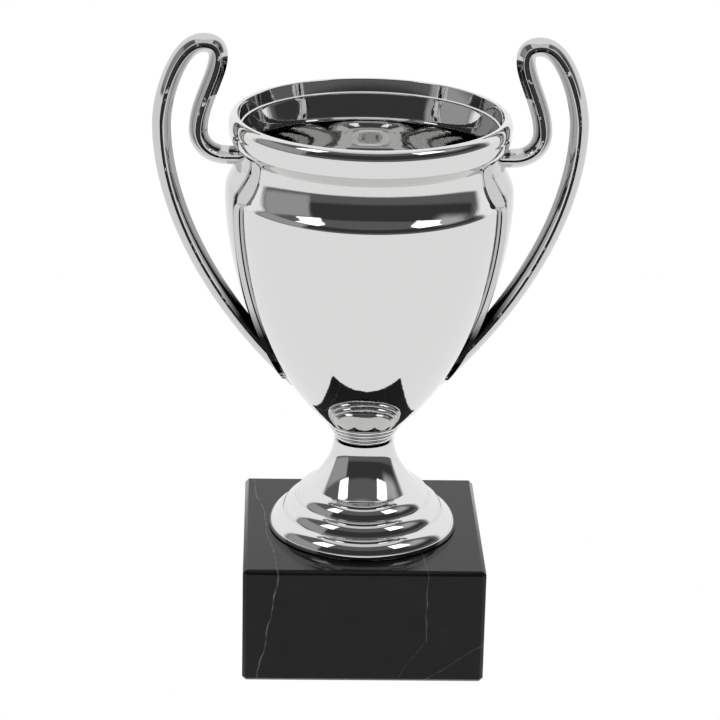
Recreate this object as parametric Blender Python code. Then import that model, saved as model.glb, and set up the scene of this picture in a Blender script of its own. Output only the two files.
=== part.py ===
"""Two-handled trophy cup on a marble block: turned pieces stacked on one threaded rod.

Metres, +Z up. The origin is the middle of the square that the four felt pads stand on, the
front of the block faces -Y and the handles lie along X.
"""
from math import atan2, cos, hypot, pi, radians, sin, tau

import bmesh
import bpy

MM = 0.001

# Clearances between neighbours
GAP = 0.3 * MM                    # face to face, wherever one piece rests on another
ROD_CLEARANCE = 0.35 * MM         # radial, around the rod in every hole

# Felt pads
PAD_RADIUS = 4.5 * MM
PAD_THICKNESS = 0.9 * MM
PAD_INSET = 5.5 * MM              # from the edge of the block to the edge of a pad

# Marble block
BLOCK_SIDE = 50.0 * MM
BLOCK_HEIGHT = 25.0 * MM
BLOCK_CHAMFER = 0.8 * MM
COUNTERBORE_RADIUS = 9.0 * MM
COUNTERBORE_DEPTH = 9.0 * MM

# Rod, washers and nuts (M5)
ROD_RADIUS = 2.5 * MM
ROD_STICKS_OUT = 1.5 * MM         # past the outer face of each nut
NUT_ACROSS_FLATS = 8.0 * MM
NUT_HEIGHT = 4.0 * MM
NUT_CORNER_CUT = 0.5 * MM
SMALL_WASHER_RADIUS = 5.0 * MM
LARGE_WASHER_RADIUS = 7.5 * MM
WASHER_THICKNESS = 1.0 * MM

# Foot
FOOT_RADIUS = 19.7 * MM
FOOT_HEIGHT = 19.4 * MM
FOOT_SKIRT = 0.7 * MM             # the upright edge at the very bottom
FOOT_TOP_RADIUS = 6.3 * MM
FOOT_WALL = 1.5 * MM
RIPPLE_RADII = (16.9 * MM, 14.3 * MM, 11.5 * MM)      # groove above each ripple
RIPPLE_HEIGHTS = (3.5 * MM, 6.3 * MM, 9.1 * MM)       # height of each groove
RIPPLE_SWEEP = 82                 # degrees of arc across each ripple, from upright
TRUMPET_BEND = 1.9                # how sharply the foot's neck flares out
FOOT_INSIDE_BEND = 1.1            # the same for the hollow under it

# Collar
COLLAR_HEIGHT = 4.0 * MM
COLLAR_RINGS = 4
COLLAR_TOP_RADIUS = 7.9 * MM
COLLAR_BOTTOM_RADIUS = 6.0 * MM
COLLAR_RING_ROUND = 0.25 * MM

# Bowl
BOWL_FOOT_RADIUS = 9.2 * MM
BOWL_EDGE = 0.5 * MM              # the small chamfer under the bowl
BOWL_RADIUS = 28.35 * MM          # at the shoulder
BOWL_BODY_HEIGHT = 48.3 * MM      # from its lowest edge to the shoulder
BOWL_FLARE = radians(45)          # from upright, where the body leaves its foot
BOWL_FLARE_PULL = 0.48            # share of the body's height that the flare holds its direction
BOWL_SIDE_PULL = 0.12             # the same for its upright end at the shoulder
BOWL_WALL = 1.5 * MM
BOWL_FLOOR = 3.6 * MM             # thickness under the nut
FLOOR_FILLET = 2.2 * MM           # height of the slope between the floor and the wall
WASHER_ROOM = 1.0 * MM            # flat floor around the washer
SHOULDER_UPRIGHT = 0.45 * MM      # straight edge between the body and the shoulder's roll
SHOULDER_ROLL = 2.8 * MM          # radius of that roll
SHOULDER_SWEEP = 37               # degrees of it
NECK_DEPTH = 2.75 * MM            # how far the waist is inside the shoulder
NECK_RISE = 9.6 * MM              # height of the waist above the shoulder
HOLLOW_LOW_PULL = 0.25            # how long the hollow between them holds its direction at
HOLLOW_HIGH_PULL = 0.21           # each end, as shares of the neck's rise
RIM_UNDERSIDE_RISE = 11.5 * MM    # where the rim's band begins above the shoulder
RIM_INSET = 0.3 * MM              # how far the foot of that band is inside the shoulder
RIM_BULGE = 0.45 * MM             # how far the rim's widest ring is outside the shoulder
RIM_RISE = 15.4 * MM              # height of the rim's widest ring above the shoulder
LIP_RISE = 17.6 * MM              # height of the lip above the shoulder
LIP_INSET = 0.9 * MM              # how far the lip's top is inside the shoulder
LIP_THICKNESS = 0.5 * MM
LIP_ROUND = 0.3 * MM              # how far the lip's inner edge is below its top
LEDGE_RISE = 14.7 * MM            # the faint ledge inside the rim, above the shoulder
LEDGE_DEPTH = 0.7 * MM
WAIST_ROUND = 2.0 * MM            # height of the slope that leads to the waist inside
INSIDE_HOLLOW = 0.8 * MM          # how much wider the inside is halfway below the waist

# Handles
STRAP_PROUD = 1.1 * MM            # how far the saddle strap stands off the bowl
STRAP_WAIST_WALL = 0.75 * MM      # its thickness at the bowl's waist
STRAP_SHOULDER_RISE = 1.2 * MM    # where its face turns in, above the shoulder
STRAP_TURN_IN = 0.1 * MM
STRAP_BRIDGE_LOW = 0.7            # where its face meets the waist, as shares of the neck's rise
STRAP_BRIDGE_HIGH = 0.9
STRAP_HALF_WIDTH = 10.7 * MM      # at the shoulder
STRAP_PLATE_HALF_WIDTH = 12.2 * MM    # where it widens into a plate, above the shoulder
STRAP_PLATE_RISE = 1.6 * MM       # height of that above the shoulder
STRAP_TOP_HALF_WIDTH = 12.4 * MM
STRAP_TAPER = 0.5                 # how quickly the strap narrows towards its low end
STRAP_CROWDING = 1.6              # how close together its outline's points are at that end
STRAP_TOP_RISE = 10.6 * MM        # its upper edge above the shoulder
STRAP_LOW_RISE = 8.4 * MM         # its low end above the bowl's lowest edge
ARM_HALF_WIDTH = 1.92 * MM        # seen from the front
ARM_HALF_DEPTH = 2.4 * MM         # front to back
ARM_RIDGE = 0.6 * MM              # half width of the flat along its front and back
ARM_CHEEK = 0.25 * MM             # half depth of its inner and outer flats
ARM_REACH = 13.9 * MM             # widest point outside the shoulder
ARM_WIDEST_RISE = 14.9 * MM       # widest point above the shoulder
ARM_TOP_RISE = 31.7 * MM          # middle of the arch above the shoulder
ARM_TOP_REACH = 5.5 * MM
ARM_WAIST_REACH = 2.5 * MM        # where the inner leg comes nearest the bowl
ARM_WAIST_RISE = 28.9 * MM
CURL_REACH = 6.5 * MM
CURL_RISE = 13.8 * MM
STUB_REACH = 0.6 * MM             # where the stub that joins the strap begins to curl up
STUB_RISE = 8.45 * MM             # middle of that stub above the shoulder
ARM_LANDING_ANGLE = radians(47)   # from upright, where the arm runs into the strap
ARM_SINK = 1.6 * MM               # how far its middle line ends inside the bowl's outline
# For each bend of the arm, the share of its width or height that it holds its direction
# for after its first end and before its second
CURL_PULLS = (0.58, 0.60)
INNER_LEG_PULLS = (0.36, 0.25)
CROOK_PULLS = (0.71, 0.67)
ARCH_PULLS = (0.60, 0.34)
SWEEP_PULLS = (0.33, 0.42)

SIDES = 40                        # around every large turned piece
SMALL_SIDES = 20                  # around the collar, the fixings and the pads
CUTTER_MARGIN = 2.0 * MM          # how far a cutter runs past what it cuts
SHARP_ANGLE = radians(40)         # edges sharper than this stay crisp when shaded

# Heights where the pieces stand
BLOCK_BOTTOM = PAD_THICKNESS + GAP
BLOCK_TOP = BLOCK_BOTTOM + BLOCK_HEIGHT
FOOT_BOTTOM = BLOCK_TOP + GAP
COLLAR_BOTTOM = FOOT_BOTTOM + FOOT_HEIGHT + GAP
BOWL_BOTTOM = COLLAR_BOTTOM + COLLAR_HEIGHT + GAP
HOLE_RADIUS = ROD_RADIUS + ROD_CLEARANCE
COUNTERBORE_TOP = BLOCK_BOTTOM + COUNTERBORE_DEPTH


# ---------------------------------------------------------------- materials and helpers

def finish(name, colour, roughness, metallic):
    """One Principled material."""
    material = bpy.data.materials.new(name)
    material.use_nodes = True
    shader = material.node_tree.nodes["Principled BSDF"]
    shader.inputs["Base Color"].default_value = (*colour, 1.0)
    shader.inputs["Roughness"].default_value = roughness
    shader.inputs["Metallic"].default_value = metallic
    return material


def chrome(name):
    return finish(name, (0.84, 0.84, 0.83), 0.04, 1.0)


def zinc(name):
    return finish(name, (0.62, 0.63, 0.64), 0.32, 1.0)


def black_marble(name):
    return finish(name, (0.022, 0.022, 0.024), 0.12, 0.0)


def black_felt(name):
    return finish(name, (0.012, 0.012, 0.013), 0.95, 0.0)


def place(name, mesh, height, material=None):
    """Put a finished bmesh in the scene as one object; without a material it is a cutter."""
    data = bpy.data.meshes.new(name)
    bmesh.ops.recalc_face_normals(mesh, faces=mesh.faces)
    mesh.to_mesh(data)
    mesh.free()
    piece = bpy.data.objects.new(name, data)
    piece.location.z = height
    bpy.context.scene.collection.objects.link(piece)
    if material is None:
        piece.hide_render = True
        piece.display_type = "WIRE"
    else:
        data.materials.append(material)
        data.shade_smooth()
        data.set_sharp_from_angle(angle=SHARP_ANGLE)
    return piece


def turned(outline, sides):
    """Spin a closed outline of (radius, height) points a full turn about Z."""
    mesh = bmesh.new()
    ring = [mesh.verts.new((radius, 0.0, height)) for radius, height in outline]
    edges = [mesh.edges.new((ring[i - 1], ring[i])) for i in range(len(ring))]
    bmesh.ops.spin(mesh, geom=ring + edges, axis=(0, 0, 1), cent=(0, 0, 0),
                   angle=tau, steps=sides, use_merge=True)
    bmesh.ops.remove_doubles(mesh, verts=mesh.verts, dist=0.001 * MM)
    return mesh


def arc(centre, radii, start, end, steps):
    """Points on an ellipse's arc, angles in degrees from the outward direction, upwards positive."""
    points = []
    for i in range(steps + 1):
        angle = radians(start + (end - start) * i / steps)
        points.append((centre[0] + radii[0] * cos(angle), centre[1] + radii[1] * sin(angle)))
    return points


def boolean(piece, operation, other):
    modifier = piece.modifiers.new(operation.lower(), "BOOLEAN")
    modifier.operation = operation
    modifier.solver = "EXACT"
    modifier.object = other


def prism(radius, low, high, sides):
    """An upright prism with a corner at a radius, between two heights."""
    mesh = bmesh.new()
    bmesh.ops.create_cone(mesh, cap_ends=True, segments=sides, radius1=radius, radius2=radius,
                          depth=high - low)
    bmesh.ops.translate(mesh, verts=mesh.verts, vec=(0, 0, (high + low) / 2))
    return mesh


# ---------------------------------------------------------------- base

def build_pads():
    """Four round felt pads under the corners of the block."""
    reach = BLOCK_SIDE / 2 - PAD_INSET - PAD_RADIUS
    corners = {"pad_front_left": (-1, -1), "pad_front_right": (1, -1),
               "pad_back_left": (-1, 1), "pad_back_right": (1, 1)}
    for name, (side, end) in corners.items():
        mesh = prism(PAD_RADIUS, 0.0, PAD_THICKNESS, SMALL_SIDES)
        pad = place(name, mesh, 0.0, black_felt(name + "_felt"))
        pad.location.x = side * reach
        pad.location.y = end * reach


def build_block():
    """Chamfered marble block, drilled through for the rod and counterbored from below."""
    mesh = bmesh.new()
    bmesh.ops.create_cube(mesh, size=1.0)
    bmesh.ops.scale(mesh, verts=mesh.verts, vec=(BLOCK_SIDE, BLOCK_SIDE, BLOCK_HEIGHT))
    bmesh.ops.translate(mesh, verts=mesh.verts, vec=(0, 0, BLOCK_HEIGHT / 2))
    bmesh.ops.bevel(mesh, geom=mesh.edges[:], offset=BLOCK_CHAMFER, offset_type="OFFSET",
                    affect="EDGES", segments=1, profile=0.5, material=-1)
    block = place("marble_plinth", mesh, BLOCK_BOTTOM, black_marble("marble"))
    drill = turned([(0, -CUTTER_MARGIN), (COUNTERBORE_RADIUS, -CUTTER_MARGIN),
                    (COUNTERBORE_RADIUS, COUNTERBORE_DEPTH), (HOLE_RADIUS, COUNTERBORE_DEPTH),
                    (HOLE_RADIUS, BLOCK_HEIGHT + CUTTER_MARGIN),
                    (0, BLOCK_HEIGHT + CUTTER_MARGIN)], SMALL_SIDES)
    boolean(block, "DIFFERENCE", place("plinth_drill", drill, BLOCK_BOTTOM))


# ---------------------------------------------------------------- foot and collar

def foot_outside():
    """The foot's visible side, bottom to top: skirt, three ripples, trumpet neck."""
    points = [(FOOT_RADIUS, 0.0)]
    radius, height = FOOT_RADIUS, FOOT_SKIRT
    for groove_radius, groove_height in zip(RIPPLE_RADII, RIPPLE_HEIGHTS):
        radii = (radius - groove_radius, groove_height - height)
        points += arc((groove_radius, height), radii, 0, RIPPLE_SWEEP, 4)
        radius, height = groove_radius, groove_height
    steps = 8
    for i in range(steps + 1):
        rise = i / steps
        flare = (1 - rise) ** TRUMPET_BEND
        points.append((FOOT_TOP_RADIUS + (radius - FOOT_TOP_RADIUS) * flare,
                       height + (FOOT_HEIGHT - height) * rise))
    return points


def build_foot():
    """Hollow turned foot, open below, with a thick top that the rod passes through."""
    steps = 5
    wide = FOOT_RADIUS - FOOT_WALL
    narrow = HOLE_RADIUS + FOOT_WALL
    ceiling = RIPPLE_HEIGHTS[-1] + FOOT_WALL
    inside = []
    for i in range(steps + 1):
        rise = i / steps
        inside.append((narrow + (wide - narrow) * (1 - rise) ** FOOT_INSIDE_BEND, ceiling * rise))
    outline = foot_outside() + [(HOLE_RADIUS, FOOT_HEIGHT), (HOLE_RADIUS, ceiling)] + inside[::-1]
    place("foot", turned(outline, SIDES), FOOT_BOTTOM, chrome("foot_chrome"))


def build_collar():
    """Stepped collar: a stack of thin rings, each one wider than the one below."""
    pitch = COLLAR_HEIGHT / COLLAR_RINGS
    outline = [(HOLE_RADIUS, 0.0)]
    for i in range(COLLAR_RINGS):
        share = i / (COLLAR_RINGS - 1)
        radius = COLLAR_BOTTOM_RADIUS + (COLLAR_TOP_RADIUS - COLLAR_BOTTOM_RADIUS) * share
        low = i * pitch
        outline += [(radius - COLLAR_RING_ROUND, low), (radius, low + COLLAR_RING_ROUND),
                    (radius, low + pitch - COLLAR_RING_ROUND)]
    outline += [(radius - COLLAR_RING_ROUND, COLLAR_HEIGHT), (HOLE_RADIUS, COLLAR_HEIGHT)]
    place("neck_collar", turned(outline, SMALL_SIDES), COLLAR_BOTTOM, chrome("collar_chrome"))


# ---------------------------------------------------------------- bowl

def bezier(start, start_pull, end_pull, end, steps):
    """Points along one cubic Bezier span, without its last point."""
    points = []
    for i in range(steps):
        t = i / steps
        weights = ((1 - t) ** 3, 3 * (1 - t) ** 2 * t, 3 * (1 - t) * t * t, t ** 3)
        corners = (start, start_pull, end_pull, end)
        points.append(tuple(sum(w * c[k] for w, c in zip(weights, corners)) for k in (0, 1)))
    return points


def body_side(steps):
    """The body's outside above its chamfer: flaring out from the foot, upright at the shoulder."""
    low = (BOWL_FOOT_RADIUS, BOWL_EDGE)
    high = (BOWL_RADIUS, BOWL_BODY_HEIGHT)
    flare = BOWL_BODY_HEIGHT * BOWL_FLARE_PULL
    low_pull = (low[0] + flare * sin(BOWL_FLARE), low[1] + flare * cos(BOWL_FLARE))
    high_pull = (high[0], high[1] - BOWL_BODY_HEIGHT * BOWL_SIDE_PULL)
    return bezier(low, low_pull, high_pull, high, steps) + [high]


BODY_SIDE = body_side(80)


def body_radius(height):
    """Outside radius of the bowl's body at a height above its lowest edge."""
    for low, high in zip(BODY_SIDE, BODY_SIDE[1:]):
        if height <= high[1]:
            break
    share = (height - low[1]) / (high[1] - low[1])
    return low[0] + (high[0] - low[0]) * min(max(share, 0.0), 1.0)


def body_outside(steps):
    """The body's outside from its lowest edge to the shoulder."""
    return [(BOWL_FOOT_RADIUS - BOWL_EDGE, 0.0)] + body_side(steps)


def neck_outside():
    """From just above the shoulder through the waist and round the rim to the lip's top."""
    level = BOWL_BODY_HEIGHT
    waist = (BOWL_RADIUS - NECK_DEPTH, level + NECK_RISE)
    band_foot = (BOWL_RADIUS - RIM_INSET, level + RIM_UNDERSIDE_RISE)
    rim = (BOWL_RADIUS + RIM_BULGE, level + RIM_RISE)
    lip = (BOWL_RADIUS - LIP_INSET, level + LIP_RISE)
    shoulder = arc((BOWL_RADIUS - SHOULDER_ROLL, level + SHOULDER_UPRIGHT),
                   (SHOULDER_ROLL, SHOULDER_ROLL), 0, SHOULDER_SWEEP, 3)
    slope_foot = shoulder.pop()
    slope = radians(SHOULDER_SWEEP)
    low_pull = NECK_RISE * HOLLOW_LOW_PULL
    hollow = bezier(slope_foot, (slope_foot[0] - low_pull * sin(slope),
                                 slope_foot[1] + low_pull * cos(slope)),
                    (waist[0], waist[1] - NECK_RISE * HOLLOW_HIGH_PULL), waist, 5)
    under = (band_foot[1] - waist[1]) / 2
    turn_out = bezier(waist, (waist[0], waist[1] + under), (band_foot[0], band_foot[1] - under),
                      band_foot, 4)
    roll = arc((lip[0], rim[1]), (rim[0] - lip[0], lip[1] - rim[1]), 0, 90, 4)
    return shoulder + hollow + turn_out + [band_foot] + roll


def neck_inside():
    """From the lip's inner edge down to where the inside meets the body's inner wall."""
    lip_radius = BOWL_RADIUS - LIP_INSET - LIP_THICKNESS
    waist_radius = BOWL_RADIUS - NECK_DEPTH - BOWL_WALL
    waist = BOWL_BODY_HEIGHT + NECK_RISE
    return [(lip_radius, BOWL_BODY_HEIGHT + LIP_RISE - LIP_ROUND),
            (lip_radius - LEDGE_DEPTH, BOWL_BODY_HEIGHT + LEDGE_RISE),
            (waist_radius + LEDGE_DEPTH, waist + WAIST_ROUND),
            (waist_radius, waist),
            (waist_radius + INSIDE_HOLLOW, waist - NECK_RISE / 2)]


def wall_radius(height):
    """Inside radius of the body, with the wall measured square to the surface."""
    step = 0.5 * MM
    slope = (body_radius(height + step) - body_radius(height - step)) / (2 * step)
    return body_radius(height) - BOWL_WALL * hypot(1.0, slope)


def bowl_outside():
    return body_outside(12) + neck_outside()


def pushed_out(line, offset):
    """A line's points moved square to it, to the side that faces away from the axis."""
    moved = []
    for i, (radius, height) in enumerate(line):
        before, after = line[max(i - 1, 0)], line[min(i + 1, len(line) - 1)]
        angle = atan2(after[1] - before[1], after[0] - before[0]) - pi / 2
        moved.append((radius + offset * cos(angle), height + offset * sin(angle)))
    return moved


def build_bowl():
    """Thin turned shell with a flat floor for the washer."""
    steps = 9
    floor_edge = BOWL_FLOOR + FLOOR_FILLET
    rows = [floor_edge + (BOWL_BODY_HEIGHT - floor_edge) * i / steps for i in range(steps + 1)]
    inside = [(wall_radius(row), row) for row in rows[::-1]]
    floor_radius = SMALL_WASHER_RADIUS + WASHER_ROOM
    outline = bowl_outside() + neck_inside() + inside
    outline += [(floor_radius, BOWL_FLOOR), (HOLE_RADIUS, BOWL_FLOOR), (HOLE_RADIUS, 0.0)]
    place("bowl", turned(outline, SIDES), BOWL_BOTTOM, chrome("bowl_chrome"))


# ---------------------------------------------------------------- handles

def between(start, end, across, up):
    """The point that shares of the width and of the height from start to end lead to."""
    return (start[0] + (end[0] - start[0]) * across, start[1] + (end[1] - start[1]) * up)


def arm_path():
    """The arm's middle line in the XZ plane, from inside the strap round to its landing."""
    level = BOWL_BODY_HEIGHT
    root = (BOWL_RADIUS - NECK_DEPTH, level + STUB_RISE)
    stub = (BOWL_RADIUS + STUB_REACH, level + STUB_RISE)
    curl = (BOWL_RADIUS + CURL_REACH, level + CURL_RISE)
    waist = (BOWL_RADIUS + ARM_WAIST_REACH, level + ARM_WAIST_RISE)
    top = (BOWL_RADIUS + ARM_TOP_REACH, level + ARM_TOP_RISE)
    widest = (BOWL_RADIUS + ARM_REACH, level + ARM_WIDEST_RISE)
    landing = (body_radius(STRAP_LOW_RISE) - ARM_SINK, STRAP_LOW_RISE)
    run_in = (widest[1] - landing[1]) * SWEEP_PULLS[1]
    landing_pull = (landing[0] + run_in * sin(ARM_LANDING_ANGLE),
                    landing[1] + run_in * cos(ARM_LANDING_ANGLE))
    path = [root]
    path += bezier(stub, between(stub, curl, CURL_PULLS[0], 0),
                   between(curl, stub, 0, CURL_PULLS[1]), curl, 7)
    path += bezier(curl, between(curl, waist, 0, INNER_LEG_PULLS[0]),
                   between(waist, curl, 0, INNER_LEG_PULLS[1]), waist, 6)
    path += bezier(waist, between(waist, top, 0, CROOK_PULLS[0]),
                   between(top, waist, CROOK_PULLS[1], 0), top, 5)
    path += bezier(top, between(top, widest, ARCH_PULLS[0], 0),
                   between(widest, top, 0, ARCH_PULLS[1]), widest, 7)
    path += bezier(widest, between(widest, landing, 0, SWEEP_PULLS[0]), landing_pull, landing, 12)
    return path + [landing]


def arm(side):
    """The arm: an eight-sided bar swept along its path, side +1 to the right or -1 to the left."""
    section = [(ARM_HALF_WIDTH, -ARM_CHEEK), (ARM_HALF_WIDTH, ARM_CHEEK),
               (ARM_RIDGE, ARM_HALF_DEPTH), (-ARM_RIDGE, ARM_HALF_DEPTH),
               (-ARM_HALF_WIDTH, ARM_CHEEK), (-ARM_HALF_WIDTH, -ARM_CHEEK),
               (-ARM_RIDGE, -ARM_HALF_DEPTH), (ARM_RIDGE, -ARM_HALF_DEPTH)]
    path = arm_path()
    mesh = bmesh.new()
    rings = []
    for i, (x, z) in enumerate(path):
        before, after = path[max(i - 1, 0)], path[min(i + 1, len(path) - 1)]
        angle = atan2(after[1] - before[1], after[0] - before[0]) + pi / 2
        rings.append([mesh.verts.new((side * (x + across * cos(angle)), deep,
                                      z + across * sin(angle))) for across, deep in section])
    for low, high in zip(rings, rings[1:]):
        for i in range(len(section)):
            mesh.faces.new((low[i - 1], low[i], high[i], high[i - 1]))
    mesh.faces.new(rings[0])
    mesh.faces.new(rings[-1])
    return mesh


def strap_blank(side):
    """The strap's outline seen from the side, extruded along X through the bowl's flank."""
    low, level = STRAP_LOW_RISE, BOWL_BODY_HEIGHT
    steps = 8
    edge = []
    for i in range(1, steps + 1):
        share = (i / steps) ** STRAP_CROWDING
        edge.append((STRAP_HALF_WIDTH * share ** STRAP_TAPER, low + (level - low) * share))
    edge.append((STRAP_PLATE_HALF_WIDTH, level + STRAP_PLATE_RISE))
    edge.append((STRAP_TOP_HALF_WIDTH, level + STRAP_TOP_RISE))
    outline = [(0.0, low)] + edge + [(-width, height) for width, height in reversed(edge)]
    mesh = bmesh.new()
    inner = side * BOWL_FOOT_RADIUS
    face = mesh.faces.new([mesh.verts.new((inner, width, height)) for width, height in outline])
    sweep = bmesh.ops.extrude_face_region(mesh, geom=[face])
    reach = side * (BOWL_RADIUS + ARM_REACH - BOWL_FOOT_RADIUS)
    verts = [item for item in sweep["geom"] if isinstance(item, bmesh.types.BMVert)]
    bmesh.ops.translate(mesh, verts=verts, vec=(reach, 0, 0))
    return mesh


def strap_body():
    """A turned plug with the strap's outer face: it follows the body and bridges the waist."""
    level = BOWL_BODY_HEIGHT
    line = pushed_out(body_outside(14), STRAP_PROUD)
    line.append((BOWL_RADIUS + STRAP_PROUD - STRAP_TURN_IN, level + STRAP_SHOULDER_RISE))
    waist_face = BOWL_RADIUS - NECK_DEPTH + GAP + STRAP_WAIST_WALL
    line.append((waist_face + STRAP_WAIST_WALL / 2, level + NECK_RISE * STRAP_BRIDGE_LOW))
    line.append((waist_face, level + NECK_RISE * STRAP_BRIDGE_HIGH))
    top = level + STRAP_TOP_RISE + CUTTER_MARGIN
    line.append((waist_face, top))
    return turned([(0.0, line[0][1])] + line + [(0.0, top)], SIDES)


def build_handles():
    """Left and right handles: strap and arm moulded in one, hollowed to sit on the bowl."""
    body = place("strap_body", strap_body(), BOWL_BOTTOM)
    clear_line = pushed_out(bowl_outside(), GAP)
    clear = turned([(0.0, clear_line[0][1])] + clear_line + [(0.0, clear_line[-1][1])], SIDES)
    clearance = place("bowl_clearance", clear, BOWL_BOTTOM)
    for name, side in (("right_handle", 1), ("left_handle", -1)):
        strap = place(name + "_strap", strap_blank(side), BOWL_BOTTOM)
        boolean(strap, "INTERSECT", body)
        handle = place(name, arm(side), BOWL_BOTTOM, chrome(name + "_chrome"))
        boolean(handle, "UNION", strap)
        boolean(handle, "DIFFERENCE", clearance)


# ---------------------------------------------------------------- rod, washers and nuts

def washer(name, radius, bottom):
    outline = [(HOLE_RADIUS, 0.0), (radius, 0.0), (radius, WASHER_THICKNESS),
               (HOLE_RADIUS, WASHER_THICKNESS)]
    place(name, turned(outline, SMALL_SIDES), bottom, zinc(name + "_zinc"))


def nut(name, bottom):
    """Hexagon nut: a bored, chamfered disc cut to six flats."""
    corner = NUT_ACROSS_FLATS / 2 / cos(pi / 6)
    outline = [(HOLE_RADIUS, 0.0), (corner - NUT_CORNER_CUT, 0.0), (corner, NUT_CORNER_CUT / 2),
               (corner, NUT_HEIGHT - NUT_CORNER_CUT / 2), (corner - NUT_CORNER_CUT, NUT_HEIGHT),
               (HOLE_RADIUS, NUT_HEIGHT)]
    piece = place(name, turned(outline, SMALL_SIDES), bottom, zinc(name + "_zinc"))
    flats = prism(corner, -CUTTER_MARGIN, NUT_HEIGHT + CUTTER_MARGIN, 6)
    boolean(piece, "INTERSECT", place(name + "_flats", flats, bottom))


def build_fixings():
    """The rod and what clamps it: a washer and nut in the bowl and another pair in the block."""
    bowl_washer = BOWL_BOTTOM + BOWL_FLOOR + GAP
    bowl_nut = bowl_washer + WASHER_THICKNESS + GAP
    washer("bowl_washer", SMALL_WASHER_RADIUS, bowl_washer)
    nut("bowl_nut", bowl_nut)
    base_washer = COUNTERBORE_TOP - GAP - WASHER_THICKNESS
    base_nut = base_washer - GAP - NUT_HEIGHT
    washer("base_washer", LARGE_WASHER_RADIUS, base_washer)
    nut("base_nut", base_nut)
    low = base_nut - ROD_STICKS_OUT
    high = bowl_nut + NUT_HEIGHT + ROD_STICKS_OUT
    place("tie_rod", prism(ROD_RADIUS, 0.0, high - low, SMALL_SIDES), low, zinc("rod_zinc"))


for leftover in list(bpy.data.objects):
    bpy.data.objects.remove(leftover, do_unlink=True)
build_pads()
build_block()
build_foot()
build_collar()
build_bowl()
build_handles()
build_fixings()
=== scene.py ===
"""Looks for a two-handled trophy cup: felt, marble, bright metallised plastic and zinc fixings.

Sizes are millimetres. Each piece is built in millimetres and brought to metres when it is shown.
Heights are above the floor, and the front faces -Y.
"""
from math import atan2, ceil, cos, pi, radians, sin, sqrt, tau

import bmesh
import bpy
from mathutils import Matrix, Vector


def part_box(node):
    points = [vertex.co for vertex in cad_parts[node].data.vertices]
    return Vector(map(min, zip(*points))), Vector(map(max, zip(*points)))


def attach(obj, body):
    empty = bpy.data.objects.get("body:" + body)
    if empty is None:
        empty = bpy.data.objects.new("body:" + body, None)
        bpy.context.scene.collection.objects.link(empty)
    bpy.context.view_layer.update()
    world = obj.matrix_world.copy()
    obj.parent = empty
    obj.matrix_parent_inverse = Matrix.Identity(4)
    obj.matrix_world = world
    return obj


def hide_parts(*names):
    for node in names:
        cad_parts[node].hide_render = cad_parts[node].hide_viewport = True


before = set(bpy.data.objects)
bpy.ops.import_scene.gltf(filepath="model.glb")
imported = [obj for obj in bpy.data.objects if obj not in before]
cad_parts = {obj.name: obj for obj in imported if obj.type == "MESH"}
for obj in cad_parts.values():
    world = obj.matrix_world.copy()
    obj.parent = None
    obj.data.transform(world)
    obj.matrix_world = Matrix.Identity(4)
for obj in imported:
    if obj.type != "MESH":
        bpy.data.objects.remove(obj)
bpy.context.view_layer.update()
MM = 0.001


# ---------------------------------------------------------------- felt pads
# Four discs die-cut from black needle felt, 0.9 mm thick, glued under the corners of the block
# so that the stone doesn't scratch a shelf.

PAD_SOFTENED = 0.14               # how far the cut edge is crushed round
FELT_DARK = (0.006, 0.006, 0.007)
FELT_PALE = (0.034, 0.034, 0.036)
FELT_ROUGHNESS = 0.95
FELT_SHEEN = 0.4
FIBRE_SCALE = 6.0                 # tufts to the millimetre
FIBRE_HEIGHT = 0.05
PAD_STEPS = 72                    # sides of each disc


def add_node(tree, kind, inputs, output=0, **settings):
    """Add a shader node. Each input is a socket to link or a value to set; gives one output."""
    made = tree.nodes.new(kind)
    for key, value in settings.items():
        setattr(made, key, value)
    for key, value in inputs.items():
        if isinstance(value, bpy.types.NodeSocket):
            tree.links.new(value, made.inputs[key])
        else:
            made.inputs[key].default_value = value
    return made.outputs[output]


def principled(name, colour, roughness, metallic=0.0):
    """A Principled material. Gives it with its node tree and its shader."""
    material = bpy.data.materials.new(name)
    material.use_nodes = True
    shader = material.node_tree.nodes["Principled BSDF"]
    shader.inputs["Base Color"].default_value = (*colour, 1.0)
    shader.inputs["Roughness"].default_value = roughness
    shader.inputs["Metallic"].default_value = metallic
    return material, material.node_tree, shader


def place_mm(tree, stretch=(1.0, 1.0, 1.0)):
    """Where a point of the piece is, in millimetres."""
    place = tree.nodes.new("ShaderNodeTexCoord").outputs["Object"]
    scale = tuple(share / MM for share in stretch)
    return add_node(tree, "ShaderNodeVectorMath", {0: place, 1: scale}, operation="MULTIPLY")


def clouds(tree, place, scale, detail=3.0):
    """Noise from 0 to 1, with so many cells to the millimetre."""
    return add_node(tree, "ShaderNodeTexNoise",
                    {"Vector": place, "Scale": scale, "Detail": detail})


def tint(tree, share, dark, pale):
    """A colour between two others."""
    return add_node(tree, "ShaderNodeMix", {0: share, 6: (*dark, 1.0), 7: (*pale, 1.0)}, output=2,
                    data_type="RGBA")


def raise_surface(tree, shader, height, depth):
    """Bump a shader's surface by a height from 0 to 1 of so many millimetres."""
    normal = add_node(tree, "ShaderNodeBump", {"Height": height, "Distance": depth * MM})
    tree.links.new(normal, shader.inputs["Normal"])


def cad_place(node):
    """Lowest and highest corners of a CAD node, in millimetres."""
    low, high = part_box(node)
    return low / MM, high / MM


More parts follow.
